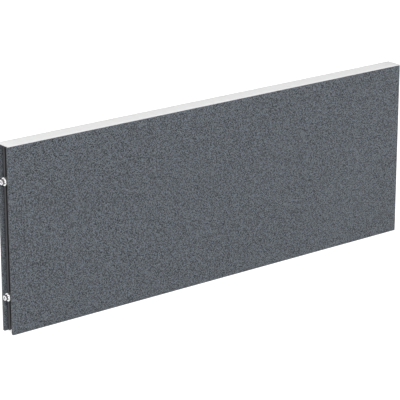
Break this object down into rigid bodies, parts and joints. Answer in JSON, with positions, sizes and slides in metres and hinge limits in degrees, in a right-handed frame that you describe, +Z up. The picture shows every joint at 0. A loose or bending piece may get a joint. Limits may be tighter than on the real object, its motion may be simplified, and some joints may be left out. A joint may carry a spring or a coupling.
{
  "type": "partition panel",
  "caption": "Fabric-covered partition panel on an aluminium frame, with a flat cap and screw-in hook bolts in recessed slotted ends for hanging between posts.",
  "frame": {"origin": "middle of the panel's length and thickness, at the bottom edge of its skins", "axes": "+X along the panel to its right end, +Y through the thickness to the back, +Z up"},
  "size_m": [1.213, 0.044, 0.45],
  "materials": {
    "cloth": "matte",
    "board": "matte",
    "foam_tape": "matte",
    "cap": "satin",
    "mill_aluminium": "satin",
    "end_profile": "satin",
    "felt": "matte",
    "zinc_steel": "satin",
    "bright_zinc": "satin"
  },
  "bodies": {
    "root": {"front_fabric": "cloth", "front_board": "board", "front_tape": "foam_tape", "back_fabric": "cloth", "back_board": "board", "back_tape": "foam_tape", "top_cap": "cap", "top_rail": "mill_aluminium", "bottom_rail": "mill_aluminium", "centre_mullion": "mill_aluminium", "left_end_profile": "end_profile", "right_end_profile": "end_profile", "left_infill": "felt", "right_infill": "felt", "corner_screws": "zinc_steel", "mullion_screws": "zinc_steel", "left_lower_nut": "zinc_steel", "left_upper_nut": "zinc_steel", "right_lower_nut": "zinc_steel", "right_upper_nut": "zinc_steel"},
    "left_lower_washer": {"left_lower_washer": "bright_zinc"},
    "left_lower_bolt": {"left_lower_bolt": "bright_zinc"},
    "left_upper_washer": {"left_upper_washer": "bright_zinc"},
    "left_upper_bolt": {"left_upper_bolt": "bright_zinc"},
    "right_lower_washer": {"right_lower_washer": "bright_zinc"},
    "right_lower_bolt": {"right_lower_bolt": "bright_zinc"},
    "right_upper_washer": {"right_upper_washer": "bright_zinc"},
    "right_upper_bolt": {"right_upper_bolt": "bright_zinc"}
  },
  "joints": [
    {"name": "left_lower_washer_slide", "type": "slide", "parent": "root", "child": "left_lower_washer", "axis": [1, 0, 0], "range_m": [-0.004, 0.0044]},
    {"name": "left_lower_bolt_turn", "type": "hinge", "parent": "left_lower_washer", "child": "left_lower_bolt", "pos_m": [-0.5985, 0, 0.087], "axis": [1, 0, 0], "range_deg": [-1150, 1260]},
    {"name": "left_upper_washer_slide", "type": "slide", "parent": "root", "child": "left_upper_washer", "axis": [1, 0, 0], "range_m": [-0.004, 0.0044]},
    {"name": "left_upper_bolt_turn", "type": "hinge", "parent": "left_upper_washer", "child": "left_upper_bolt", "pos_m": [-0.5985, 0, 0.363], "axis": [1, 0, 0], "range_deg": [-1150, 1260]},
    {"name": "right_lower_washer_slide", "type": "slide", "parent": "root", "child": "right_lower_washer", "axis": [-1, 0, 0], "range_m": [-0.004, 0.0044]},
    {"name": "right_lower_bolt_turn", "type": "hinge", "parent": "right_lower_washer", "child": "right_lower_bolt", "pos_m": [0.5985, 0, 0.087], "axis": [-1, 0, 0], "range_deg": [-1150, 1260]},
    {"name": "right_upper_washer_slide", "type": "slide", "parent": "root", "child": "right_upper_washer", "axis": [-1, 0, 0], "range_m": [-0.004, 0.0044]},
    {"name": "right_upper_bolt_turn", "type": "hinge", "parent": "right_upper_washer", "child": "right_upper_bolt", "pos_m": [0.5985, 0, 0.363], "axis": [-1, 0, 0], "range_deg": [-1150, 1260]}
  ],
  "couplings": [
    {"joint": "left_lower_washer_slide", "follows": "left_lower_bolt_turn", "m_per_rad": 0.00019894},
    {"joint": "left_upper_washer_slide", "follows": "left_upper_bolt_turn", "m_per_rad": 0.00019894},
    {"joint": "right_lower_washer_slide", "follows": "right_lower_bolt_turn", "m_per_rad": 0.00019894},
    {"joint": "right_upper_washer_slide", "follows": "right_upper_bolt_turn", "m_per_rad": 0.00019894}
  ]
}
